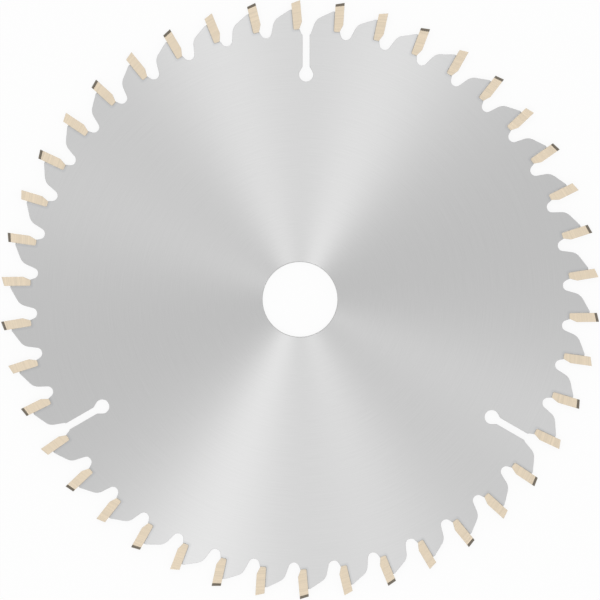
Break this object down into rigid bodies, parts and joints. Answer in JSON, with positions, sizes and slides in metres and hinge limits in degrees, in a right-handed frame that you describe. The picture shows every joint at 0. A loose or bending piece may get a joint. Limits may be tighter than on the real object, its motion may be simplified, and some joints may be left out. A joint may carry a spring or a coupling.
{
  "type": "circular saw blade",
  "caption": "Flat circular saw blade with a steel plate, a round arbor bore, keyhole expansion slots and brazed carbide tips whose tops alternate bevelled and square.",
  "frame": {"origin": "centre of the arbor bore, at half the plate's thickness", "axes": "+Z along the arbor axis, up from the blade as it lies flat; +Y through the cutting edge of the flat tooth beside a slot; the teeth cut clockwise seen from +Z"},
  "size_m": [0.1596, 0.1598, 0.0022],
  "materials": {
    "plate_steel": "fine circular grind",
    "tip_carbide": "ground, warm grey",
    "braze_filler": "dull"
  },
  "bodies": {
    "root": {"saw_plate": "plate_steel", "flat_tip_01": "tip_carbide", "trapeze_tip_02": "tip_carbide", "flat_tip_03": "tip_carbide", "trapeze_tip_04": "tip_carbide", "flat_tip_05": "tip_carbide", "trapeze_tip_06": "tip_carbide", "flat_tip_07": "tip_carbide", "trapeze_tip_08": "tip_carbide", "flat_tip_09": "tip_carbide", "trapeze_tip_10": "tip_carbide", "flat_tip_11": "tip_carbide", "trapeze_tip_12": "tip_carbide", "flat_tip_13": "tip_carbide", "trapeze_tip_14": "tip_carbide", "flat_tip_15": "tip_carbide", "trapeze_tip_16": "tip_carbide", "flat_tip_17": "tip_carbide", "trapeze_tip_18": "tip_carbide", "flat_tip_19": "tip_carbide", "trapeze_tip_20": "tip_carbide", "flat_tip_21": "tip_carbide", "trapeze_tip_22": "tip_carbide", "flat_tip_23": "tip_carbide", "trapeze_tip_24": "tip_carbide", "flat_tip_25": "tip_carbide", "trapeze_tip_26": "tip_carbide", "flat_tip_27": "tip_carbide", "trapeze_tip_28": "tip_carbide", "flat_tip_29": "tip_carbide", "trapeze_tip_30": "tip_carbide", "flat_tip_31": "tip_carbide", "trapeze_tip_32": "tip_carbide", "flat_tip_33": "tip_carbide", "trapeze_tip_34": "tip_carbide", "flat_tip_35": "tip_carbide", "trapeze_tip_36": "tip_carbide", "flat_tip_37": "tip_carbide", "trapeze_tip_38": "tip_carbide", "flat_tip_39": "tip_carbide", "trapeze_tip_40": "tip_carbide", "flat_tip_41": "tip_carbide", "trapeze_tip_42": "tip_carbide", "braze_seams": "braze_filler"}
  },
  "joints": []
}
